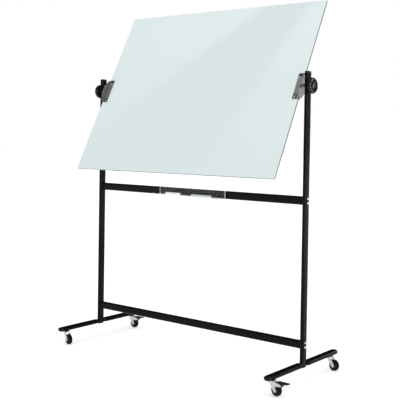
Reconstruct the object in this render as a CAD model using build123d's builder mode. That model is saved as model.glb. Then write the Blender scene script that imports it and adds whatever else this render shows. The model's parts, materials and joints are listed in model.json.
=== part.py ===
"""A rolling whiteboard: a double-sided glass board that tilts between two posts on castered feet.

Millimetres. X runs along the board's width, +Y to the rear and +Z up. The origin is on the
floor, midway between the two posts.
"""

import os
from math import cos, radians, sin

from build123d import *

os.makedirs("parts", exist_ok=True)

# Writing board
board_width = 1200
board_height = 900
board_tilt = 27  # degrees that the top leans to the rear
glass_thickness = 3
core_thickness = 0.6
pivot_height = 1290

# Flat-oval steel tube that every frame member is cut from
tube_depth = 38
tube_width = 19
tube_wall = 1.5
plug_gap = 0.1  # between a plug and the inside of its tube

# Frame
post_x = 628
post_top = pivot_height + 57
foot_z = 75
foot_reach = 289  # from the post's centre to the tip of a foot
upper_bar_z = pivot_height - 500
lower_bar_z = pivot_height - 1130
screw_pitch = 20
screw_radius = 3

# Pivot
stud_radius = 5
knob_radius = 35
knob_inner = 640.8
knob_outer = 659

# Casters
swivel_y = 238
trail = 24
wheel_radius = 25
wheel_width = 18
kingpin_radius = 4
running_gap = 0.05  # radial, between a shaft and the hole it turns in

# Pen tray and markers
tray_right = 197
tray_length = 407
tray_thickness = 3
tray_front = -65
marker_radius = 6.2

post_foot = foot_z - tube_width / 2
post_inner = post_x - tube_width / 2
post_outer = post_x + tube_width / 2
bore_depth = tube_depth - 2 * tube_wall
bore_width = tube_width - 2 * tube_wall
lean = (0, sin(radians(board_tilt)), cos(radians(board_tilt)))
facing = (0, -cos(radians(board_tilt)), sin(radians(board_tilt)))
board_plane = Plane(origin=(0, 0, pivot_height), x_dir=(1, 0, 0), z_dir=facing)
board_normal = Axis((0, 0, pivot_height), facing)
sides = (("left", -1), ("right", 1))
ends = (("front", -1), ("rear", 1))


def save(piece, name):
    """Label a finished sub-part and write it under its own name."""
    piece.part.label = name
    export_step(piece.part, f"parts/{name}.step")


def tube_profile():
    """The hollow flat-oval section, its long side along the sketch's x."""
    SlotOverall(tube_depth, tube_width)
    SlotOverall(bore_depth, bore_width, mode=Mode.SUBTRACT)


def plug_profile():
    """A solid section that slides into the tube."""
    SlotOverall(bore_depth - 2 * plug_gap, bore_width - 2 * plug_gap)


def level_plane(x, y, z):
    """A horizontal plane whose x runs front to rear, as the post's section does."""
    return Plane(origin=(x, y, z), x_dir=(0, 1, 0), z_dir=(0, 0, 1))


def bar_plane(x, z):
    """A plane across a crossbar, its x upright, as the crossbar's section stands."""
    return Plane(origin=(x, 0, z), x_dir=(0, 0, 1), z_dir=(1, 0, 0))


def foot_plane(x, y, end):
    """A plane across a foot, its x along the board, facing away from the post."""
    return Plane(origin=(x, y, foot_z), x_dir=(1, 0, 0), z_dir=(0, end, 0))


def across(x):
    """A plane square to X, on which a sketch's x and y are the object's Y and Z."""
    return Plane.YZ.offset(x)


# ---------------------------------------------------------------- posts

screw_heights = [z + half * screw_pitch / 2 for z in (lower_bar_z, upper_bar_z) for half in (-1, 1)]
bush_radius = 7

for side, s in sides:
    with BuildPart() as post:
        with BuildSketch(level_plane(s * post_x, 0, post_foot)):
            tube_profile()
        extrude(amount=post_top - post_foot)
        with BuildSketch(across(s * post_x)):
            with Locations(*[(0, z) for z in screw_heights]):
                Circle(screw_radius + plug_gap)
            with Locations((0, pivot_height)):
                Circle(bush_radius)
        extrude(amount=tube_width, both=True, mode=Mode.SUBTRACT)
    save(post, f"{side}_post")

top_cap_height = 7
bottom_cap_height = 5
top_cap_round = 5
bottom_cap_round = 4
cap_plug = 12

with BuildPart() as post_end_caps:
    for side, s in sides:
        with BuildSketch(level_plane(s * post_x, 0, post_top)):
            SlotOverall(tube_depth, tube_width)
        extrude(amount=top_cap_height)
        with BuildSketch(level_plane(s * post_x, 0, post_foot)):
            SlotOverall(tube_depth, tube_width)
        extrude(amount=-bottom_cap_height)
    fillet(post_end_caps.edges().group_by(Axis.Z)[-1], top_cap_round)
    fillet(post_end_caps.edges().group_by(Axis.Z)[0], bottom_cap_round)
    for side, s in sides:
        with BuildSketch(level_plane(s * post_x, 0, post_top)):
            plug_profile()
        extrude(amount=-cap_plug)
        with BuildSketch(level_plane(s * post_x, 0, post_foot)):
            plug_profile()
        extrude(amount=cap_plug)
save(post_end_caps, "post_end_caps")

# ---------------------------------------------------------------- crossbars

block_length = 25

for name, z in (("upper_crossbar", upper_bar_z), ("lower_crossbar", lower_bar_z)):
    with BuildPart() as crossbar:
        with BuildSketch(bar_plane(-post_inner, z)):
            tube_profile()
        extrude(amount=2 * post_inner)
    save(crossbar, name)

# Tapped blocks inside the ends of the crossbars, which the crossbar screws pull against the posts.
with BuildPart() as crossbar_end_blocks:
    for side, s in sides:
        for z in (upper_bar_z, lower_bar_z):
            with BuildSketch(bar_plane(s * (post_inner - 0.2), z)):
                plug_profile()
                with Locations((-screw_pitch / 2, 0), (screw_pitch / 2, 0)):
                    Circle(screw_radius, mode=Mode.SUBTRACT)
            extrude(amount=-s * block_length)
save(crossbar_end_blocks, "crossbar_end_blocks")

# Button-head screws through the posts, two at each end of each crossbar.
screw_length = 38
screw_head_radius = 5.5
screw_head_height = 2.6
screw_head_round = 1.6
hex_key = 2.2
hex_depth = 1.6

with BuildPart() as crossbar_screws:
    for side, s in sides:
        with BuildSketch(across(s * post_outer)):
            with Locations(*[(0, z) for z in screw_heights]):
                Circle(screw_head_radius)
        extrude(amount=s * screw_head_height)
    outer_rims = crossbar_screws.edges().group_by(Axis.X)
    fillet(outer_rims[0] + outer_rims[-1], screw_head_round)
    for side, s in sides:
        with BuildSketch(across(s * (post_outer + screw_head_height))):
            with Locations(*[(0, z) for z in screw_heights]):
                RegularPolygon(hex_key, 6)
        extrude(amount=-s * hex_depth, mode=Mode.SUBTRACT)
        with BuildSketch(across(s * post_outer)):
            with Locations(*[(0, z) for z in screw_heights]):
                Circle(screw_radius)
        extrude(amount=-s * screw_length)
save(crossbar_screws, "crossbar_screws")

# ---------------------------------------------------------------- feet

saddle_start = 14  # from the post's centre, at the saddle's narrow end
saddle_end = 30  # where the saddle has widened to the foot's section
saddle_plug = 16
neck_width = 21
neck_height = 17
stem_hole_radius = 4.2

for side, s in sides:
    for end, e in ends:
        with BuildPart() as foot:
            with BuildSketch(foot_plane(s * post_x, e * saddle_end, e)):
                tube_profile()
            extrude(amount=foot_reach - tube_depth / 2 - saddle_end)
            with BuildSketch(Plane.XY.offset(post_foot)):
                with Locations((s * post_x, e * swivel_y)):
                    Circle(stem_hole_radius)
            extrude(amount=tube_wall, mode=Mode.SUBTRACT)
        save(foot, f"{side}_{end}_foot")

# Saddles that widen from the post's round edge to the foot, each with a plug inside the foot.
with BuildPart() as foot_saddles:
    for side, s in sides:
        for end, e in ends:
            with BuildSketch(foot_plane(s * post_x, e * saddle_start, e)):
                SlotOverall(neck_width, neck_height)
            with BuildSketch(foot_plane(s * post_x, e * saddle_end, e)):
                SlotOverall(tube_depth, tube_width)
            loft()
            with BuildSketch(foot_plane(s * post_x, e * saddle_end, e)):
                plug_profile()
            extrude(amount=saddle_plug)
        with BuildSketch(level_plane(s * post_x, 0, post_foot)):
            SlotOverall(tube_depth, tube_width)
        extrude(amount=tube_width, mode=Mode.SUBTRACT)
save(foot_saddles, "foot_saddles")

# Rounded noses: the foot's section turned half a circle, with a plug inside the tube.
nose_radius = tube_depth / 2
flat_reach = (tube_depth - tube_width) / 2

with BuildPart() as foot_end_caps:
    for side, s in sides:
        for end, e in ends:
            nose = (s * post_x, e * (foot_reach - nose_radius), foot_z)
            with BuildSketch(Plane(origin=nose, x_dir=(1, 0, 0), z_dir=(0, -1, 0))):
                with BuildLine():
                    Line((0, -tube_width / 2), (flat_reach, -tube_width / 2))
                    RadiusArc((flat_reach, -tube_width / 2), (flat_reach, tube_width / 2), -tube_width / 2)
                    Line((flat_reach, tube_width / 2), (0, tube_width / 2))
                    Line((0, tube_width / 2), (0, -tube_width / 2))
                make_face()
            revolve(axis=Axis(nose, (0, 0, e)), revolution_arc=180)
            with BuildSketch(foot_plane(nose[0], nose[1], e)):
                plug_profile()
            extrude(amount=-cap_plug)
save(foot_end_caps, "foot_end_caps")

# ---------------------------------------------------------------- pivot

flange_radius = 10
flange_thickness = 1.2
bush_centre_gap = 0.1
ear_inner = 603
ear_thickness = 3
washer_radius = 12
washer_start = post_outer + flange_thickness + 0.3

# Flanged half bushes, one from each face of each post.
with BuildPart() as pivot_bushes:
    for side, s in sides:
        for face_x, inward in ((post_inner, 1), (post_outer, -1)):
            with BuildSketch(across(s * face_x)):
                with Locations((0, pivot_height)):
                    Circle(flange_radius)
            extrude(amount=-s * inward * flange_thickness)
            with BuildSketch(across(s * face_x)):
                with Locations((0, pivot_height)):
                    Circle(bush_radius)
            extrude(amount=s * inward * (tube_width / 2 - bush_centre_gap))
    with BuildSketch(across(0)):
        with Locations((0, pivot_height)):
            Circle(stud_radius + running_gap)
    extrude(amount=board_width, both=True, mode=Mode.SUBTRACT)
save(pivot_bushes, "pivot_bushes")

# ---------------------------------------------------------------- board

corner_radius = 4
edge_chamfer = 0.6
core_inset = 1

for name, way, outer in (("front_glass", 1, -1), ("back_glass", -1, 0)):
    with BuildPart() as pane:
        with BuildSketch(board_plane.offset(way * core_thickness / 2)):
            RectangleRounded(board_width, board_height, corner_radius)
        extrude(amount=way * glass_thickness)
        chamfer(pane.faces().sort_by(board_normal)[outer].edges(), edge_chamfer)
    save(pane, name)

with BuildPart() as steel_core:
    with BuildSketch(board_plane.offset(-core_thickness / 2)):
        RectangleRounded(board_width - 2 * core_inset, board_height - 2 * core_inset, corner_radius)
    extrude(amount=core_thickness)
save(steel_core, "steel_core")

# Brackets: a channel over the board's edge, with a lozenge-shaped ear on its outside.
board_half = core_thickness / 2 + glass_thickness
liner_thickness = 0.5
plate_thickness = 2
plate_inner = 569
plate_top = 62
plate_bottom = -67
plate_corner = 4
plate_face = board_half + liner_thickness + plate_thickness
web_inner = ear_inner - plate_thickness
ear_outline = [(-8, -60), (8, -60), (26, -22), (26, 22), (8, 60), (-8, 60), (-26, 22), (-26, -22)]
ear_corner = 6
clamp_screw_x = 580
clamp_screw_heights = (40, -57)
clamp_screw_radius = 2.5


def board_section(v):
    """A plane across the board at a height along it, its x along the board."""
    return Plane(origin=board_plane.from_local_coords(Vector(0, v, 0)), x_dir=(1, 0, 0), z_dir=lean)


def ear_plane(x):
    """A plane square to X at the pivot, its y up the board."""
    return Plane(origin=(x, 0, pivot_height), x_dir=(0, lean[2], -lean[1]), z_dir=(1, 0, 0))


def channel_profile(s, inner, outer, half_outside, half_inside):
    """A channel section open towards the board's middle, between two distances from the centre."""
    web = half_outside - half_inside
    with Locations((s * (inner + outer) / 2, 0)):
        Rectangle(outer - inner, 2 * half_outside)
    with Locations((s * (inner + outer - web) / 2, 0)):
        Rectangle(outer - inner - web, 2 * half_inside, mode=Mode.SUBTRACT)


for side, s in sides:
    with BuildPart() as bracket:
        with BuildSketch(board_section(plate_bottom)):
            channel_profile(s, plate_inner, ear_inner, plate_face, plate_face - plate_thickness)
        extrude(amount=plate_top - plate_bottom)
        fillet(bracket.edges().filter_by(board_normal).group_by(Axis.X)[0 if s > 0 else -1], plate_corner)
        with BuildSketch(ear_plane(s * ear_inner)) as ear:
            Polygon(*ear_outline, align=None)
            fillet(ear.vertices(), ear_corner)
        extrude(amount=s * ear_thickness)
        with BuildSketch(ear_plane(s * ear_inner)):
            Circle(stud_radius)
        extrude(amount=plate_thickness + ear_thickness, both=True, mode=Mode.SUBTRACT)
        with BuildSketch(board_plane):
            with Locations(*[(s * clamp_screw_x, v) for v in clamp_screw_heights]):
                Circle(clamp_screw_radius)
        extrude(amount=plate_face, both=True, mode=Mode.SUBTRACT)
    save(bracket, f"{side}_bracket")

# Rubber channels between the brackets and the glass.
liner_inset = 2

with BuildPart() as glass_liners:
    for side, s in sides:
        with BuildSketch(board_section(plate_bottom + liner_inset)):
            channel_profile(
                s, plate_inner + liner_inset, web_inner - liner_thickness, board_half + liner_thickness, board_half
            )
        extrude(amount=plate_top - plate_bottom - 2 * liner_inset)
save(glass_liners, "glass_liners")

# Rubber bumpers on the outside of the plates: a pad above, and an arch round the lower screw.
pad_thickness = 1
pad_size = (21, 12)
pad_height = 53
arch_x = clamp_screw_x
arch_width = 20
arch_opening = 12
arch_top = -43
arch_bottom = -66

with BuildPart() as bracket_pads:
    for side, s in sides:
        for face, grow in ((plate_face, pad_thickness), (-plate_face, -pad_thickness)):
            with BuildSketch(board_plane.offset(face)):
                with Locations((s * clamp_screw_x, pad_height)):
                    RectangleRounded(*pad_size, 3)
                for width, top, mode in (
                    (arch_width, arch_top, Mode.ADD),
                    (arch_opening, arch_top - (arch_width - arch_opening) / 2, Mode.SUBTRACT),
                ):
                    with Locations((s * arch_x, top - width / 2)):
                        Circle(width / 2, mode=mode)
                    with Locations((s * arch_x, (top - width / 2 + arch_bottom) / 2)):
                        Rectangle(width, top - width / 2 - arch_bottom, mode=mode)
            extrude(amount=grow)
save(bracket_pads, "bracket_pads")

# Pan-head screws threaded through the plates on to the liners.
pan_radius = 4
pan_height = 1.8

with BuildPart() as bracket_screws:
    for side, s in sides:
        for face, grow in ((plate_face, 1), (-plate_face, -1)):
            with BuildSketch(board_plane.offset(face)):
                with Locations(*[(s * clamp_screw_x, v) for v in clamp_screw_heights]):
                    Circle(pan_radius)
            extrude(amount=grow * pan_height)
    for rim in (0, -1):
        fillet(bracket_screws.edges().group_by(board_normal)[rim], 1.2)
    for side, s in sides:
        for face, grow in ((plate_face, 1), (-plate_face, -1)):
            with BuildSketch(board_plane.offset(face)):
                with Locations(*[(s * clamp_screw_x, v) for v in clamp_screw_heights]):
                    Circle(clamp_screw_radius)
            extrude(amount=-grow * plate_thickness)
save(bracket_screws, "bracket_screws")

# Threaded studs that carry the board, with a bright spacer inside each post and a washer outside.
stud_end = 654
spacer_radius = 7.5
washer_thickness = 1.5

with BuildPart() as pivot_studs:
    for side, s in sides:
        with BuildSketch(across(s * (web_inner + 0.2))):
            with Locations((0, pivot_height)):
                Circle(stud_radius)
        extrude(amount=s * (stud_end - web_inner - 0.2))
    tips = pivot_studs.edges().group_by(Axis.X)
    chamfer(tips[0] + tips[-1], 1)
save(pivot_studs, "pivot_studs")

with BuildPart() as pivot_spacers:
    for side, s in sides:
        with BuildSketch(across(s * (ear_inner + ear_thickness))):
            with Locations((0, pivot_height)):
                Circle(spacer_radius)
                Circle(stud_radius, mode=Mode.SUBTRACT)
        extrude(amount=s * (post_inner - flange_thickness - 0.3 - ear_inner - ear_thickness))
save(pivot_spacers, "pivot_spacers")

with BuildPart() as friction_washers:
    for side, s in sides:
        with BuildSketch(across(s * washer_start)):
            with Locations((0, pivot_height)):
                Circle(washer_radius)
                Circle(stud_radius, mode=Mode.SUBTRACT)
        extrude(amount=s * washer_thickness)
save(friction_washers, "friction_washers")

# ---------------------------------------------------------------- clamp knobs

knob_hub_radius = 15
knob_hub_length = 4.2
flute_radius = 6
flute_depth = 2
flute_count = 10
insert_radius = 8
insert_length = 12
dish_radius = 27
boss_radius = 11
dish_depth = 4

for side, s in sides:
    with BuildPart() as knob:
        with BuildSketch(across(s * (knob_inner + knob_hub_length))):
            with Locations((0, pivot_height)):
                Circle(knob_radius)
                with PolarLocations(knob_radius + flute_radius - flute_depth, flute_count):
                    Circle(flute_radius, mode=Mode.SUBTRACT)
        extrude(amount=s * (knob_outer - knob_inner - knob_hub_length))
        fillet(knob.edges().group_by(Axis.X)[-1] + knob.edges().group_by(Axis.X)[0], 1.2)
        with BuildSketch(across(s * knob_inner)):
            with Locations((0, pivot_height)):
                Circle(knob_hub_radius)
        extrude(amount=s * knob_hub_length)
        with BuildSketch(across(s * knob_outer)):
            with Locations((0, pivot_height)):
                Circle(dish_radius)
                Circle(boss_radius, mode=Mode.SUBTRACT)
        extrude(amount=-s * dish_depth, mode=Mode.SUBTRACT)
        with BuildSketch(across(s * knob_inner)):
            with Locations((0, pivot_height)):
                RegularPolygon(insert_radius, 6)
        extrude(amount=s * insert_length, mode=Mode.SUBTRACT)
        with BuildSketch(across(s * knob_inner)):
            with Locations((0, pivot_height)):
                Circle(stud_radius + 0.5)
        extrude(amount=s * (stud_end - knob_inner + 0.5), mode=Mode.SUBTRACT)
    save(knob, f"{side}_knob")
    with BuildPart() as insert:
        with BuildSketch(across(s * knob_inner)):
            with Locations((0, pivot_height)):
                RegularPolygon(insert_radius, 6)
                Circle(stud_radius + running_gap, mode=Mode.SUBTRACT)
        extrude(amount=s * insert_length)
    save(insert, f"{side}_knob_insert")

# ---------------------------------------------------------------- casters

socket_radius = 8
collar_radius = 14
collar_bottom = 61.3
collar_top = post_foot
kingpin_head_radius = 7
kingpin_head = (54.2, 56.7)  # its lowest and highest heights
stem_top = 81
swivels = [(s * post_x, e * swivel_y) for side, s in sides for end, e in ends]

# Nuts inside the feet that the stems screw into.
with BuildPart() as caster_sockets:
    with BuildSketch(Plane.XY.offset(post_foot + tube_wall + plug_gap)):
        with Locations(*swivels):
            Circle(socket_radius)
            Circle(kingpin_radius, mode=Mode.SUBTRACT)
    extrude(amount=bore_width - 2 * plug_gap)
save(caster_sockets, "caster_sockets")

# Kingpins: a head under the fork's crown, a plain length in its hole and a stem up into the foot.
with BuildPart() as caster_stems:
    with BuildSketch(Plane.XY.offset(kingpin_head[0])):
        with Locations(*swivels):
            Circle(kingpin_head_radius)
    extrude(amount=kingpin_head[1] - kingpin_head[0])
    fillet(caster_stems.edges().group_by(Axis.Z)[0], 1)
    with BuildSketch(Plane.XY.offset(kingpin_head[1])):
        with Locations(*swivels):
            Circle(kingpin_radius)
    extrude(amount=stem_top - kingpin_head[1])
save(caster_stems, "caster_stems")

with BuildPart() as caster_collars:
    with BuildSketch(Plane.XY.offset(collar_bottom)):
        with Locations(*swivels):
            Circle(collar_radius)
    extrude(amount=collar_top - collar_bottom)
    fillet(caster_collars.edges().group_by(Axis.Z)[0], 2)
    with BuildSketch(Plane.XY.offset(collar_bottom)):
        with Locations(*swivels):
            Circle(kingpin_radius)
    extrude(amount=collar_top - collar_bottom, mode=Mode.SUBTRACT)
save(caster_collars, "caster_collars")

# Each fork's side view is a hull of circles, as (distance along the trail, height, radius).
crown_length = 30
crown_bottom = 57
crown_top = 59.5
crown_forward = 1
race_radius = 13.5
race_top = 61
leg_gap = 10.5  # from the wheel's middle plane to a leg
leg_thickness = 2
leg_outline = [(-7, 55.5, 3), (9, 55.5, 3), (trail, wheel_radius, 8.5)]
brake_pin = (53, 51)
brake_pin_radius = 2
arm_outline = [(9, 55, 3), (12, 42, 3), (*brake_pin, 5)]
axle_radius = 3
rivet_lip = 1.2  # of a rivet's head round its shank
rivet_height = 1.5

hub_radius = 17.5
hub_boss_radius = 6
hub_boss_gap = 0.3
hub_dish = (7.5, 14.5)  # inner and outer radius
hub_dish_depth = 5
tread_fillet = 4

# Side view of the brake pedal: a plate, the lug round the pin and the shoe behind the tyre.
pedal_plate = [(30, 60, 1.8), (88, 62.5, 1.8)]
pedal_lug = [(47, 59.5, 1.5), (60, 60, 1.5), (*brake_pin, 4.5)]
pedal_shoe = [(*brake_pin, 4.5), (47.6, 40.8, 2)]
pedal_half_width = 11
pedal_lug_half_width = 8

# Name, swivel position, heading of the trail in degrees from +X, and whether it has a brake.
casters = [
    ("front_right", (post_x, -swivel_y), -10, True),
    ("front_left", (-post_x, -swivel_y), -13, False),
    ("rear_right", (post_x, swivel_y), -8, False),
    ("rear_left", (-post_x, swivel_y), -2, True),
]


def hull_of(circles):
    """The convex outline round some circles, each given as x, y and radius."""
    for x, y, radius in circles:
        with Locations((x, y)):
            Circle(radius)
    make_hull()


for name, (x, y), heading, braked in casters:
    along = (cos(radians(heading)), sin(radians(heading)), 0)
    to_side = (along[1], -along[0], 0)
    top_view = Plane(origin=(x, y, 0), x_dir=along, z_dir=(0, 0, 1))
    side_view = Plane(origin=(x, y, 0), x_dir=along, z_dir=to_side)

    with BuildPart() as fork:
        for leg_start in (leg_gap, -leg_gap - leg_thickness):
            for outline in (leg_outline, arm_outline) if braked else (leg_outline,):
                with BuildSketch(side_view.offset(leg_start)):
                    hull_of(outline)
                extrude(amount=leg_thickness)
        with BuildSketch(top_view.offset(crown_bottom)):
            with Locations((crown_forward, 0)):
                RectangleRounded(crown_length, 2 * (leg_gap + leg_thickness), 4)
        extrude(amount=crown_top - crown_bottom)
        with BuildSketch(top_view.offset(crown_top)):
            Circle(race_radius)
        extrude(amount=race_top - crown_top)
        with BuildSketch(top_view.offset(crown_bottom)):
            Circle(kingpin_radius + running_gap)
        extrude(amount=race_top - crown_bottom, mode=Mode.SUBTRACT)
        with BuildSketch(side_view):
            with Locations((trail, wheel_radius)):
                Circle(axle_radius)
            if braked:
                with Locations(brake_pin):
                    Circle(brake_pin_radius)
        extrude(amount=leg_gap + leg_thickness, both=True, mode=Mode.SUBTRACT)
    save(fork, f"{name}_fork")

    # The axle is a rivet through both legs, and a braked caster's pedal turns on a thinner one.
    rivets = [("axle", (trail, wheel_radius), axle_radius)]
    if braked:
        rivets.append(("brake_pin", brake_pin, brake_pin_radius))
    for rivet_name, centre, shank in rivets:
        with BuildPart() as rivet:
            with BuildSketch(side_view):
                with Locations(centre):
                    Circle(shank)
            extrude(amount=leg_gap + leg_thickness, both=True)
            for head_start, grow in ((leg_gap + leg_thickness, 1), (-leg_gap - leg_thickness, -1)):
                with BuildSketch(side_view.offset(head_start)):
                    with Locations(centre):
                        Circle(shank + rivet_lip)
                extrude(amount=grow * rivet_height)
        save(rivet, f"{name}_{rivet_name}")

    with BuildPart() as hub:
        with BuildSketch(side_view):
            with Locations((trail, wheel_radius)):
                Circle(hub_radius)
        extrude(amount=wheel_width / 2, both=True)
        for face, grow in ((wheel_width / 2, -1), (-wheel_width / 2, 1)):
            with BuildSketch(side_view.offset(face)):
                with Locations((trail, wheel_radius)):
                    Circle(hub_dish[1])
                    Circle(hub_dish[0], mode=Mode.SUBTRACT)
            extrude(amount=grow * hub_dish_depth, mode=Mode.SUBTRACT)
        with BuildSketch(side_view):
            with Locations((trail, wheel_radius)):
                Circle(hub_boss_radius)
        extrude(amount=leg_gap - hub_boss_gap, both=True)
        with BuildSketch(side_view):
            with Locations((trail, wheel_radius)):
                Circle(axle_radius + running_gap)
        extrude(amount=leg_gap, both=True, mode=Mode.SUBTRACT)
    save(hub, f"{name}_hub")

    with BuildPart() as tyre:
        with BuildSketch(side_view):
            with Locations((trail, wheel_radius)):
                Circle(wheel_radius)
        extrude(amount=wheel_width / 2, both=True)
        fillet(tyre.edges().filter_by(GeomType.CIRCLE), tread_fillet)
        with BuildSketch(side_view):
            with Locations((trail, wheel_radius)):
                Circle(hub_radius)
        extrude(amount=wheel_width / 2, both=True, mode=Mode.SUBTRACT)
    save(tyre, f"{name}_tyre")

    if braked:
        with BuildPart() as pedal:
            for outline, half_width in (
                (pedal_plate, pedal_half_width),
                (pedal_lug, pedal_lug_half_width),
                (pedal_shoe, pedal_lug_half_width),
            ):
                with BuildSketch(side_view):
                    hull_of(outline)
                extrude(amount=half_width, both=True)
            with BuildSketch(side_view):
                with Locations(brake_pin):
                    Circle(brake_pin_radius + running_gap)
            extrude(amount=pedal_half_width, both=True, mode=Mode.SUBTRACT)
        save(pedal, f"{name}_brake_pedal")

# ---------------------------------------------------------------- pen tray and markers

tray_hook_drop = 8  # of the hook's end, below the level where the crossbar's top begins to round
tray_under = upper_bar_z - 20
tray_lip_top = tray_under + 10
tray_bend = 5
tray_floor = tray_under + tray_thickness
bar_half = tube_width / 2
bar_round_z = upper_bar_z + (tube_depth - tube_width) / 2

# One bent sheet of clear plastic: hooked over the crossbar, down its front, out and up to a lip.
with BuildPart() as pen_tray:
    with BuildLine(across(tray_right)):
        Line((bar_half, bar_round_z - tray_hook_drop), (bar_half, bar_round_z))
        RadiusArc((bar_half, bar_round_z), (-bar_half, bar_round_z), -bar_half)
        FilletPolyline(
            (-bar_half, bar_round_z),
            (-bar_half, tray_under),
            (tray_front, tray_under),
            (tray_front, tray_lip_top),
            radius=tray_bend,
        )
    make_brake_formed(thickness=tray_thickness, station_widths=tray_length, side=Side.LEFT)
save(pen_tray, "pen_tray")

# Markers, as name, left end, length of the barrel, length of the cap and distance in front of the bar.
marker_gap = 0.3  # above the tray's floor
neck_radius = 4.8
neck_length = 20
nib_radius = 2
nib_length = 6
cap_radius = 6.6
cap_bore_gap = 0.3
markers = [("marker_1", -158, 97, 67, -25), ("marker_2", 22, 124, 36, -46)]

for name, start, barrel_length, cap_length, y in markers:
    marker_z = tray_floor + cap_radius + marker_gap
    shoulder = start + barrel_length
    with BuildPart() as barrel:
        for from_x, to_x, radius in (
            (start, shoulder, marker_radius),
            (shoulder, shoulder + neck_length, neck_radius),
        ):
            with BuildSketch(across(from_x)):
                with Locations((y, marker_z)):
                    Circle(radius)
            extrude(amount=to_x - from_x)
        chamfer(barrel.edges().group_by(Axis.X)[0], 1)
        with BuildSketch(across(shoulder + neck_length)):
            with Locations((y, marker_z)):
                Circle(nib_radius)
        extrude(amount=-neck_length, mode=Mode.SUBTRACT)
    save(barrel, f"{name}_barrel")

    with BuildPart() as nib:
        with BuildSketch(across(shoulder)):
            with Locations((y, marker_z)):
                Circle(nib_radius)
        extrude(amount=neck_length + nib_length)
        chamfer(nib.edges().group_by(Axis.X)[-1], 1.2)
    save(nib, f"{name}_nib")

    with BuildPart() as cap:
        with BuildSketch(across(shoulder + cap_bore_gap)):
            with Locations((y, marker_z)):
                Circle(cap_radius)
        extrude(amount=cap_length - cap_bore_gap)
        fillet(cap.edges().group_by(Axis.X)[-1], 1.5)
        with BuildSketch(across(shoulder + cap_bore_gap)):
            with Locations((y, marker_z)):
                Circle(neck_radius + cap_bore_gap)
        extrude(amount=neck_length + nib_length + 2, mode=Mode.SUBTRACT)
    save(cap, f"{name}_cap")
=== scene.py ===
"""Looks of the rolling whiteboard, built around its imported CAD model. Metres, +Z up."""

import json
import math

import bmesh
import bpy
from mathutils import Matrix, Vector


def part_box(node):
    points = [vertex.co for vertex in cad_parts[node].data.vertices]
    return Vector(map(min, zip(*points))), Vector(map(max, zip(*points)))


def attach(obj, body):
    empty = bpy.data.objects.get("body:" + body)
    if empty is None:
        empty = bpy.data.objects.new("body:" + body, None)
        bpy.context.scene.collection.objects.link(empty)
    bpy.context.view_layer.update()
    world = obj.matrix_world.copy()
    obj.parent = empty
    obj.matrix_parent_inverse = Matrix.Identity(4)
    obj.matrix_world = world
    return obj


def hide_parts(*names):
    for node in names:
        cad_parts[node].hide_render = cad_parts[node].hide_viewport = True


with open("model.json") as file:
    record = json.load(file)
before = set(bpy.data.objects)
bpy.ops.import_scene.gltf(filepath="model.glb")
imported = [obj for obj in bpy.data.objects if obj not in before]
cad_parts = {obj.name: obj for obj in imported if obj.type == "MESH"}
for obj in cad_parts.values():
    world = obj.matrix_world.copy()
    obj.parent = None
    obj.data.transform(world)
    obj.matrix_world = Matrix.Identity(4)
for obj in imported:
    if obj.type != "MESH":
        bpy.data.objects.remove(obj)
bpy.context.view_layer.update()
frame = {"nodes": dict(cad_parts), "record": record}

pivot = (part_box("pivot_studs")[0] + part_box("pivot_studs")[1]) / 2
board_tilt = math.radians(27)
board_half_width, board_half_height = 0.6, 0.45
edge_tint_and_shade_band = 0.0007  # how deep from its rim the glass shows its dark edge: its own green edge tint, darkened with painted shade
tray_end_band, tray_lip_band = 0.0035, 0.0028  # how much of the clear tray its bright cut edges take
floor_glow = 0.27
mm = 0.001
node_body = {node: body for body, nodes in frame["record"]["behaviour"]["bodies"].items() for node in nodes}
node_slot = {part["node"]: part["material_slot"] for part in frame["record"]["subparts"]}


# ---------------------------------------------------------------- material helpers

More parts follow.
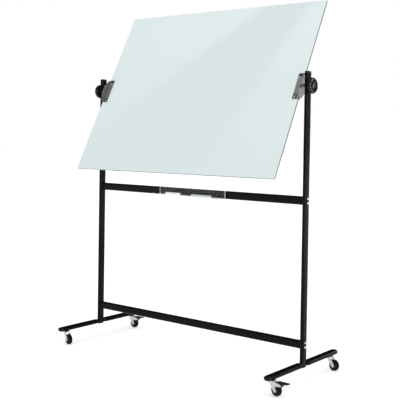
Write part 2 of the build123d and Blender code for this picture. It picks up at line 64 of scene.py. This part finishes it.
class Shader:
    """A Principled material with short calls for the nodes that drive it."""

    def __init__(self, name, colour, roughness, metallic=0.0, **inputs):
        self.material = bpy.data.materials.new(name)
        self.material.use_nodes = True
        self.tree = self.material.node_tree
        self.shader = self.tree.nodes["Principled BSDF"]
        self.set("Base Color", (*colour, 1))
        self.set("Roughness", roughness)
        self.set("Metallic", metallic)
        for key, value in inputs.items():
            self.set(key.replace("_", " "), value)
        self.where = self.node("ShaderNodeTexCoord").outputs["Object"]

    def node(self, kind, **settings):
        made = self.tree.nodes.new(kind)
        for key, value in settings.items():
            setattr(made, key, value)
        return made

    def set(self, socket, value):
        self.shader.inputs[socket].default_value = value

    def link(self, out, into):
        self.tree.links.new(out, into)

    def stretched(self, scale):
        """Object coordinates multiplied by a scale along each axis."""
        mapping = self.node("ShaderNodeMapping")
        mapping.inputs["Scale"].default_value = scale
        self.link(self.where, mapping.inputs["Vector"])
        return mapping.outputs["Vector"]

    def noise(self, scale, detail=3.0, roughness=0.5, vector=None):
        """Noise of that many features to the metre."""
        made = self.node("ShaderNodeTexNoise")
        made.inputs["Scale"].default_value = scale
        made.inputs["Detail"].default_value = detail
        made.inputs["Roughness"].default_value = roughness
        self.link(vector or self.where, made.inputs["Vector"])
        return made.outputs["Fac"]

    def ramp(self, value, low, high, start=0.0, stop=1.0):
        """A value spread from low..high to start..stop, and held there beyond."""
        made = self.node("ShaderNodeMapRange")
        for socket, number in zip(("From Min", "From Max", "To Min", "To Max"), (low, high, start, stop)):
            made.inputs[socket].default_value = number
        self.link(value, made.inputs["Value"])
        return made.outputs["Result"]

    def maths(self, operation, first, second):
        made = self.node("ShaderNodeMath", operation=operation)
        for socket, term in zip(made.inputs, (first, second)):
            if isinstance(term, (int, float)):
                socket.default_value = term
            else:
                self.link(term, socket)
        return made.outputs["Value"]

    def mix(self, factor, first, second):
        """A colour between two, each a colour or a socket."""
        made = self.node("ShaderNodeMix", data_type="RGBA")
        self.link(factor, made.inputs["Factor"])
        for socket, colour in ((made.inputs[6], first), (made.inputs[7], second)):
            if isinstance(colour, tuple):
                socket.default_value = (*colour, 1)
            else:
                self.link(colour, socket)
        return made.outputs[2]

    def bump(self, height, distance, strength=1.0):
        """Relief of that depth in metres from a value, on top of any relief given before."""
        made = self.node("ShaderNodeBump")
        made.inputs["Strength"].default_value = strength
        made.inputs["Distance"].default_value = distance
        self.link(height, made.inputs["Height"])
        before = self.shader.inputs["Normal"].links
        if before:
            self.link(before[0].from_socket, made.inputs["Normal"])
        self.link(made.outputs["Normal"], self.shader.inputs["Normal"])

    def colour(self, out):
        self.link(out, self.shader.inputs["Base Color"])

    def roughness(self, out):
        self.link(out, self.shader.inputs["Roughness"])


def powder_coat():
    """Black powder coat: fine orange peel, a little dust and small pale scuffs."""
    s = Shader("powder_coat", (0.004, 0.0042, 0.0042), 0.22, Specular_IOR_Level=0.06)
    peel = s.noise(900, 2)
    dust = s.noise(14, 5, 0.6)
    scuff = s.ramp(s.noise(260, 4, 0.7, s.stretched((1, 1, 0.15))), 0.68, 0.76)
    paint = s.mix(dust, (0.003, 0.0032, 0.0032), (0.006, 0.0062, 0.0062))
    s.colour(s.mix(s.maths("MULTIPLY", scuff, 0.5), paint, (0.03, 0.031, 0.031)))
    s.roughness(s.ramp(dust, 0.3, 0.7, 0.16, 0.28))
    s.bump(peel, 0.00012, 0.35)
    return s.material


def moulded_black(name, colour=(0.007, 0.007, 0.0073), roughness=0.42, grain=1600):
    """Moulded black plastic: fine spark-eroded grain and uneven sheen."""
    s = Shader(name, colour, roughness, Specular_IOR_Level=0.2)
    grains = s.noise(grain, 3, 0.6)
    wear = s.noise(35, 4)
    s.colour(s.mix(wear, tuple(0.75 * c for c in colour), tuple(1.5 * c for c in colour)))
    s.roughness(s.ramp(wear, 0.3, 0.7, roughness - 0.08, roughness + 0.1))
    s.bump(grains, 0.00008, 0.5)
    return s.material


def rubber(name, colour, roughness):
    s = Shader(name, colour, roughness, Specular_IOR_Level=0.08)
    dust = s.noise(70, 5, 0.65)
    s.colour(s.mix(s.ramp(dust, 0.45, 0.75), colour, tuple(1.8 * c + 0.002 for c in colour)))
    s.roughness(s.ramp(dust, 0.3, 0.7, roughness - 0.06, roughness + 0.1))
    s.bump(s.noise(1400, 4, 0.7), 0.0001, 0.4)
    return s.material


def plated(name, colour, roughness):
    """Plated steel: soft mottling, uneven sheen and small dark specks."""
    s = Shader(name, colour, roughness, metallic=1.0)
    mottle = s.noise(60, 4, 0.6)
    sheen = s.noise(60, 3, 0.6, s.stretched((6, 6, 6)))
    specks = s.ramp(s.noise(420, 2), 0.72, 0.8)
    base = s.mix(mottle, tuple(0.86 * c for c in colour), tuple(min(1, 1.08 * c) for c in colour))
    s.colour(s.mix(s.maths("MULTIPLY", specks, 0.4), base, tuple(0.5 * c for c in colour)))
    s.roughness(s.ramp(sheen, 0.3, 0.7, roughness - 0.07, roughness + 0.1))
    s.bump(sheen, 0.00005, 0.35)
    return s.material


def satin_aluminium():
    """The brackets' satin grey metal: fine brushing up the bracket and soft handling marks."""
    s = Shader("satin_aluminium", (0.22, 0.226, 0.23), 0.38, metallic=0.5)
    brushed = s.noise(50, 3, 0.7, s.stretched((60, 4, 4)))
    marks = s.noise(40, 4, 0.6)
    s.colour(s.mix(marks, (0.19, 0.195, 0.198), (0.25, 0.256, 0.26)))
    s.roughness(s.ramp(brushed, 0.25, 0.75, 0.3, 0.48))
    s.bump(brushed, 0.00006, 0.4)
    return s.material


def board_glass():
    """Glass painted pale on its back: a tinted body under a polished face, dark where it is seen edge on,
    which is its green edge tint darkened with painted shade.
    """
    s = Shader("board_glass", (0.675, 0.755, 0.762), 0.04, IOR=1.5)
    cloud = s.noise(3, 2)
    body = s.mix(cloud, (0.67, 0.75, 0.757), (0.68, 0.76, 0.767))
    turned = s.node("ShaderNodeVectorRotate", rotation_type="AXIS_ANGLE")
    turned.inputs["Center"].default_value = pivot
    turned.inputs["Axis"].default_value = (1, 0, 0)
    turned.inputs["Angle"].default_value = board_tilt
    s.link(s.where, turned.inputs["Vector"])
    split = s.node("ShaderNodeSeparateXYZ")
    s.link(turned.outputs["Vector"], split.inputs["Vector"])
    from_side = s.maths("ABSOLUTE", split.outputs["X"], 0)
    from_end = s.maths("ABSOLUTE", s.maths("SUBTRACT", split.outputs["Z"], pivot.z), 0)
    # Painted shade: every rim of the glass takes the same dark green-grey, its own edge tint darkened as if
    # it lay in shade.
    side_edge_tint_and_shade = s.maths("GREATER_THAN", from_side, board_half_width - edge_tint_and_shade_band)
    end_edge_tint_and_shade = s.maths("GREATER_THAN", from_end, board_half_height - edge_tint_and_shade_band)
    edge = s.maths("MAXIMUM", side_edge_tint_and_shade, end_edge_tint_and_shade)
    s.colour(s.mix(edge, body, (0.17, 0.21, 0.205)))
    s.roughness(s.ramp(s.noise(25, 4, 0.6), 0.3, 0.7, 0.03, 0.12))
    s.bump(s.noise(2.5, 1), 0.0004, 0.02)
    return s.material


def acrylic():
    """Thin clear acrylic: almost invisible on its faces, bright along its two cut ends and its front lip."""
    s = Shader("acrylic", (0.86, 0.88, 0.88), 0.05, IOR=1.49)
    split = s.node("ShaderNodeSeparateXYZ")
    s.link(s.where, split.inputs["Vector"])
    lo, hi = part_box("pen_tray")
    left_end = s.maths("LESS_THAN", split.outputs["X"], lo.x + tray_end_band)
    right_end = s.maths("GREATER_THAN", split.outputs["X"], hi.x - tray_end_band)
    lip = s.maths("LESS_THAN", split.outputs["Y"], lo.y + tray_lip_band)
    ends = s.maths("MAXIMUM", left_end, right_end)
    bright = s.maths("MAXIMUM", ends, s.maths("MULTIPLY", lip, 0.45))
    s.link(s.ramp(bright, 0, 1, 0.04, 0.45), s.shader.inputs["Alpha"])
    wipe = s.noise(50, 4, 0.6)
    s.colour(s.mix(s.noise(20, 2), (0.84, 0.865, 0.865), (0.9, 0.92, 0.92)))
    s.roughness(s.ramp(wipe, 0.4, 0.7, 0.03, 0.16))
    s.bump(s.noise(120, 2), 0.00002, 0.2)
    return s.material


def hub_plastic():
    """Dark moulded hubs with uneven sheen."""
    s = Shader("hub_plastic", (0.02, 0.02, 0.021), 0.4, Specular_IOR_Level=0.2)
    wear = s.noise(80, 4)
    s.colour(s.mix(wear, (0.008, 0.008, 0.0085), (0.02, 0.0205, 0.0215)))
    s.roughness(s.ramp(wear, 0.3, 0.7, 0.3, 0.5))
    s.bump(s.noise(1500, 3), 0.00006, 0.4)
    return s.material


def gloss_plastic(name, colour, roughness=0.16):
    s = Shader(name, colour, roughness, Coat_Weight=0.3, Coat_Roughness=0.05)
    tone = s.noise(60, 3)
    s.colour(s.mix(tone, tuple(0.94 * c for c in colour), tuple(min(1, 1.03 * c + 0.002) for c in colour)))
    s.roughness(s.ramp(s.noise(90, 4, 0.6), 0.35, 0.7, roughness - 0.05, roughness + 0.14))
    s.bump(s.noise(500, 2), 0.00003, 0.2)
    return s.material


def felt():
    s = Shader("felt", (0.02, 0.02, 0.022), 0.9)
    fibres = s.noise(2500, 4, 0.8)
    s.colour(s.mix(fibres, (0.01, 0.01, 0.012), (0.05, 0.05, 0.055)))
    s.bump(fibres, 0.0002, 0.7)
    return s.material


finishes = {
    "frame_black": powder_coat(),
    "cap_black": moulded_black("cap_plastic", roughness=0.38),
    "tapped_block": plated("cast_alloy", (0.6, 0.61, 0.62), 0.45),
    "zinc_fastener": plated("bright_zinc", (0.72, 0.73, 0.74), 0.26),
    "bush_nylon": moulded_black("bush_nylon", (0.03, 0.03, 0.03), 0.5),
    "tray_acrylic": acrylic(),
    "board_glass": board_glass(),
    "core_steel": plated("core_sheet", (0.6, 0.61, 0.62), 0.35),
    "bracket_metal": satin_aluminium(),
    "black_rubber": rubber("bumper_rubber", (0.03, 0.031, 0.031), 0.6),
    "pivot_chrome": plated("chrome", (0.82, 0.83, 0.84), 0.1),
    "knob_black": moulded_black("knob_plastic", (0.008, 0.008, 0.0083), 0.36),
    "insert_brass": plated("brass", (0.72, 0.54, 0.24), 0.3),
    "caster_zinc": plated("caster_zinc", (0.56, 0.57, 0.58), 0.3),
    "hub_grey": hub_plastic(),
    "caster_tyre": rubber("tyre_rubber", (0.004, 0.004, 0.0042), 0.45),
    "pedal_black": moulded_black("pedal_nylon", (0.006, 0.006, 0.0062), 0.36),
    "marker_white": gloss_plastic("marker_white", (0.82, 0.82, 0.82)),
    "marker_grey": gloss_plastic("marker_grey", (0.55, 0.58, 0.58)),
    "marker_black": gloss_plastic("marker_black", (0.012, 0.012, 0.012)),
    "nib_felt": felt(),
}

for node, slot in node_slot.items():
    for holder in frame["nodes"][node].material_slots:
        holder.material = finishes[slot]


# ---------------------------------------------------------------- turned pieces

joints = {joint["name"]: joint for joint in frame["record"]["behaviour"]["joints"]}


def smooth(piece):
    """Rounds the shading except across edges sharper than 35 degrees."""
    for face in piece.data.polygons:
        face.use_smooth = True
    piece.data.set_sharp_from_angle(angle=math.radians(35))


def turned(name, outline, centre, axis, around=96, relief=None, closed=False):
    """A piece turned from an outline of (millimetres along the axis, radius in millimetres) points.

    relief gives a point's new distance and radius from its old ones and its angle round the axis.
    A closed outline is a ring round the axis; any other starts and ends on the axis.
    """
    bm = bmesh.new()
    rings = []
    for along, radius in outline:
        if radius == 0:
            rings.append([bm.verts.new((0, 0, along))])
            continue
        ring = []
        for step in range(around):
            angle = 2 * math.pi * step / around
            z, out = relief(along, radius, angle) if relief else (along, radius)
            ring.append(bm.verts.new((out * math.cos(angle), out * math.sin(angle), z)))
        rings.append(ring)
    pairs = list(zip(rings, rings[1:])) + ([(rings[-1], rings[0])] if closed else [])
    for first, second in pairs:
        for step in range(around):
            after = (step + 1) % around
            corners = [first[step % len(first)], second[step % len(second)]]
            if len(second) > 1:
                corners.append(second[after])
            if len(first) > 1:
                corners.append(first[after])
            bm.faces.new(corners)
    bmesh.ops.recalc_face_normals(bm, faces=bm.faces)
    turn = Vector(axis).to_track_quat("Z", "Y").to_matrix().to_4x4()
    place = Matrix.Translation(centre) @ turn @ Matrix.Scale(mm, 4)
    bmesh.ops.transform(bm, matrix=place, verts=bm.verts)
    mesh = bpy.data.meshes.new(name)
    bm.to_mesh(mesh)
    bm.free()
    piece = bpy.data.objects.new(name, mesh)
    bpy.context.scene.collection.objects.link(piece)
    smooth(piece)
    return piece


def stand_for(piece, node):
    """Puts a finer piece in a CAD node's place, on its body and with its finish."""
    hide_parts(node)
    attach(piece, node_body[node])
    piece.data.materials.append(finishes[node_slot[node]])


# Tyres: a moulded rib on each sidewall, rounded shoulders and three fine grooves in the tread.
sidewall = [
    (-8.7, 17.5), (-9, 17.9), (-9, 19.6), (-8.6, 20), (-8.5, 21.2),
    (-8.2, 22.4), (-7.4, 23.6), (-6.2, 24.5), (-5, 24.9),
]
tread = [(-4.2, 25), (-3.9, 24.4), (-3.3, 24.4), (-3, 25), (-0.6, 25), (-0.3, 24.4)]
half = sidewall + tread
tyre_outline = half + [(-along, radius) for along, radius in reversed(half)]

# Knobs: a bored hub, a fluted rim with rolled edges, and a dished face with ten ribs round its boss.
flutes = 10
flute_depth = 2
rim_radius = 28
dish_inner, dish_outer, dish_floor = 14, 24.5, 14
rib_height = 1.8
rib_start = 0.86  # the share of the wave past which a rib stands up
knob_outline = [
    (13.7, 0), (13.7, 5.6), (12.1, 5.6), (12.1, 8.2), (0, 8.2), (0, 14.4), (0.6, 15), (4.2, 15),
    (4.2, 31.5), (4.6, 33.2), (5.8, 34.5), (7.4, 35), (15, 35), (16.6, 34.5), (17.8, 33.2),
    (18.2, 31.5), (18.2, 28.6), (17.9, 27.6), (17, 27), (14.8, 26.6), (14.3, 25.8), (14.2, 24.5),
    (14.2, 21), (14.2, 17), (14.2, 14), (14.3, 12.4), (14.8, 11.6), (17.2, 11.2), (18, 10.6),
    (18.2, 9.6), (18.2, 7.4), (17.8, 6.8), (17.5, 6), (17.4, 3), (17.4, 0),
]


def knob_relief(along, radius, angle):
    """Flutes in the rim, and ribs that stand up from the dish's floor."""
    wave = 0.5 - 0.5 * math.cos(flutes * angle)
    if radius > rim_radius:
        return along, radius - flute_depth * (1 - wave) ** 3 * min(1, (radius - rim_radius) / 4)
    if dish_inner <= radius <= dish_outer and along > dish_floor:
        return along + rib_height * max(0, wave - rib_start) / (1 - rib_start), radius
    return along, radius


for side in ("left", "right"):
    spin = joints[f"{side}_knob_turn"]
    lo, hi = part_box(f"{side}_knob")
    base = Vector((hi.x if side == "left" else lo.x, pivot.y, pivot.z))
    knob = turned(f"{side}_fluted_knob", knob_outline, base, spin["axis"], around=320, relief=knob_relief)
    stand_for(knob, f"{side}_knob")

for node in [node for node in node_slot if node.endswith("_tyre")]:
    roll = joints[node.replace("_tyre", "_wheel_roll")]
    tyre = turned(f"{node[:-5]}_treaded_tyre", tyre_outline, roll["pos_m"], roll["axis"], closed=True)
    stand_for(tyre, node)

# These CAD parts keep their meshes, with small broken edges that catch the light. Widths in millimetres.
broken_edges = {
    "bracket_metal": 0.4, "caster_zinc": 0.25, "pedal_black": 0.5, "hub_grey": 0.3, "tapped_block": 0.3,
}
for node, slot in node_slot.items():
    if slot in broken_edges:
        holder = frame["nodes"][node]
        weld = holder.modifiers.new("weld", "WELD")
        weld.merge_threshold = 0.01 * mm
        bevel = holder.modifiers.new("broken_edges", "BEVEL")
        bevel.width, bevel.segments = broken_edges[slot] * mm, 2
        bevel.limit_method, bevel.angle_limit = "ANGLE", math.radians(50)


# ---------------------------------------------------------------- stage, lights and camera

def flat_sheet(name, half_width, half_height):
    """A rectangle in its own XY plane, facing +Z."""
    mesh = bpy.data.meshes.new(name)
    signs = ((-1, -1), (1, -1), (1, 1), (-1, 1))
    corners = [(x * half_width, y * half_height, 0) for x, y in signs]
    mesh.from_pydata(corners, [], [(0, 1, 2, 3)])
    sheet = bpy.data.objects.new(name, mesh)
    bpy.context.scene.collection.objects.link(sheet)
    return sheet


def facing(place, aim, roll=0.0):
    """The pose of something at a place whose -Z looks at a point, turned about that line."""
    turn = (Vector(aim) - Vector(place)).to_track_quat("-Z", "Y").to_matrix().to_4x4()
    return Matrix.Translation(place) @ turn @ Matrix.Rotation(roll, 4, "Z")


def floor():
    """A wide pale floor with a little glow of its own, so that shadows stay faint."""
    sheet = flat_sheet("floor", 30, 30)
    s = Shader("floor_paint", (0.9, 0.9, 0.9), 0.8, Specular_IOR_Level=0.0)
    s.set("Emission Color", (1, 1, 1, 1))
    s.set("Emission Strength", floor_glow)
    s.colour(s.mix(s.noise(0.7, 2), (0.88, 0.88, 0.88), (0.92, 0.92, 0.92)))
    sheet.data.materials.append(s.material)


def glow_card(name, place, aim, roll, half_width, half_height, top, bottom, tint):
    """A card that only reflections see, its glow spread evenly from its bottom edge to its top."""
    card = flat_sheet(name, half_width, half_height)
    card.matrix_world = facing(place, aim, roll)
    card.visible_camera = card.visible_diffuse = card.visible_shadow = card.visible_transmission = False
    s = Shader(name, (0, 0, 0), 1.0, Specular_IOR_Level=0.0, Emission_Color=(*tint, 1))
    split = s.node("ShaderNodeSeparateXYZ")
    s.link(s.where, split.inputs["Vector"])
    glow = s.ramp(split.outputs["Y"], -half_height, half_height, bottom, top)
    s.link(glow, s.shader.inputs["Emission Strength"])
    card.data.materials.append(s.material)


def softbox(name, place, aim, size, power):
    """A rectangular area light at a place, facing a point, unseen by the camera itself."""
    light = bpy.data.lights.new(name, "AREA")
    light.shape, light.size, light.size_y, light.energy = "RECTANGLE", *size, power
    lamp = bpy.data.objects.new(name, light)
    bpy.context.scene.collection.objects.link(lamp)
    lamp.matrix_world = facing(place, aim)
    lamp.visible_camera = False


def camera():
    """A long lens in front and to the right, pitched a degree down, its frame shifted left and down."""
    lens = bpy.data.cameras.new("camera")
    lens.lens, lens.sensor_width, lens.shift_x, lens.shift_y = 72.91, 36.0, -0.0375, -0.125
    lens.dof.use_dof = False
    eye = bpy.data.objects.new("camera", lens)
    bpy.context.scene.collection.objects.link(eye)
    yaw, pitch, roll = 0.6592, -0.019, 0.016
    level = Matrix.Rotation(yaw, 4, "Z") @ Matrix.Rotation(math.pi / 2 + pitch, 4, "X")
    place = Matrix.Translation(pivot + Vector((2.4694, -3.0275, -0.2183)))
    eye.matrix_world = place @ level @ Matrix.Rotation(roll, 4, "Z")
    bpy.context.scene.camera = eye


floor()
camera()

# Two cards that the tilted glass mirrors towards the camera, with a dark gap between them.
mirror_way = Vector((-0.623, -0.420, 0.660))
across = Vector((0.560, -0.829, 0.0))
upward = Vector((0.547, 0.369, 0.751))
middle = pivot + Vector((0.075, -0.02, -0.033)) + 2.6 * mirror_way
tint = (1.06, 1.0, 0.98)
glow_card(
    "card_left", middle - 0.95 * across + 0.1 * upward, pivot, roll=math.radians(6.5),
    half_width=0.7, half_height=1.3, top=1.6, bottom=0.0, tint=tint,
)
glow_card(
    "card_right", middle + 0.93 * across + 0.55 * upward, pivot, roll=math.radians(-14),
    half_width=0.75, half_height=1.3, top=1.9, bottom=-0.2, tint=tint,
)

# Bright narrow cards for the tubes' rounded corners. The knobs catch some of their light too.
mid_frame = (0, 0, 0.8)
glow_card(
    "streak_front", (4.0, -0.9, 0.9), mid_frame, roll=0,
    half_width=0.22, half_height=1.6, top=26.0, bottom=26.0, tint=(1, 1, 1),
)
glow_card(
    "streak_back", (1.6, 4.2, 0.9), mid_frame, roll=0,
    half_width=0.25, half_height=1.6, top=24.0, bottom=24.0, tint=(1, 1, 1),
)

softbox("key", (-2.9, -3.3, 1.3), (0, 0, 0.7), (1.4, 1.8), 9)
softbox("strip_right", (3.9, -0.1, 1.3), (0.6, 0, 0.8), (0.3, 2.6), 30)

world = bpy.data.worlds.new("studio")
world.use_nodes = True
world.node_tree.nodes["Background"].inputs["Color"].default_value = (1, 1, 1, 1)
world.node_tree.nodes["Background"].inputs["Strength"].default_value = 1.0
bpy.context.scene.world = world
world.cycles_visibility.glossy = False
bpy.context.scene.view_settings.view_transform = "Standard"
